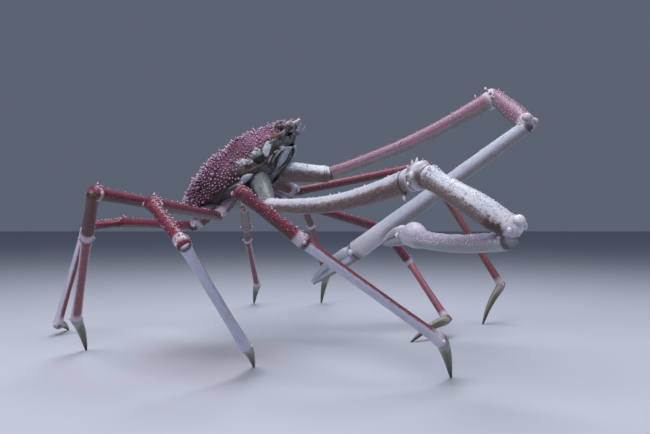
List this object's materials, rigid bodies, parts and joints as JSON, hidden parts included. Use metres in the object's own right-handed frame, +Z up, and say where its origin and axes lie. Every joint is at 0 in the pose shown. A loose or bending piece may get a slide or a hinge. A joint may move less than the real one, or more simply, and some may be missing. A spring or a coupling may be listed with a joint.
{
  "type": "japanese spider crab",
  "caption": "Japanese spider crab with a knobbly domed carapace and long jointed legs, standing with its clawed limbs folded.",
  "frame": {"origin": "on the floor, under the middle of the box round the whole crab", "axes": "+Z up; +X is the picture's right and +Y leads away from the camera; the nose points between +X and -Y"},
  "size_m": [1.038, 1.3046, 0.5294],
  "materials": {
    "shell": "rough horny shell set with pale tubercles",
    "underside": "smooth pale shell",
    "leg": "satin red shell with pale tubercles",
    "pale_leg": "satin pale shell with red edges",
    "arm": "granular pale shell, brown below",
    "claw": "satin olive horn",
    "antenna": "satin pale shell",
    "eye": "glossy dark eye"
  },
  "bodies": {
    "root": {"abdomen": "underside", "carapace": "shell", "left_antenna": "antenna", "left_arm_base": "arm", "left_arm_carpus": "arm", "left_arm_finger": "claw", "left_arm_merus": "arm", "left_arm_palm": "arm", "left_eye": "eye", "left_leg_1_base": "leg", "left_leg_1_carpus": "leg", "left_leg_1_dactyl": "claw", "left_leg_1_merus": "leg", "left_leg_1_propodus": "pale_leg", "left_leg_2_base": "leg", "left_leg_2_carpus": "leg", "left_leg_2_dactyl": "claw", "left_leg_2_merus": "leg", "left_leg_2_propodus": "pale_leg", "left_leg_3_base": "leg", "left_leg_3_carpus": "leg", "left_leg_3_dactyl": "claw", "left_leg_3_merus": "leg", "left_leg_3_propodus": "pale_leg", "left_leg_4_base": "leg", "left_leg_4_carpus": "leg", "left_leg_4_dactyl": "claw", "left_leg_4_merus": "leg", "left_leg_4_propodus": "pale_leg", "left_maxilliped": "underside", "right_antenna": "antenna", "right_arm_base": "arm", "right_arm_carpus": "arm", "right_arm_finger": "claw", "right_arm_merus": "arm", "right_arm_palm": "arm", "right_eye": "eye", "right_leg_1_base": "leg", "right_leg_1_carpus": "leg", "right_leg_1_dactyl": "claw", "right_leg_1_merus": "leg", "right_leg_1_propodus": "pale_leg", "right_leg_2_base": "leg", "right_leg_2_carpus": "leg", "right_leg_2_dactyl": "claw", "right_leg_2_merus": "leg", "right_leg_2_propodus": "pale_leg", "right_leg_3_base": "leg", "right_leg_3_carpus": "leg", "right_leg_3_dactyl": "claw", "right_leg_3_merus": "leg", "right_leg_3_propodus": "pale_leg", "right_leg_4_base": "leg", "right_leg_4_carpus": "leg", "right_leg_4_dactyl": "claw", "right_leg_4_merus": "leg", "right_leg_4_propodus": "pale_leg", "right_maxilliped": "underside", "underside": "underside"}
  },
  "joints": []
}
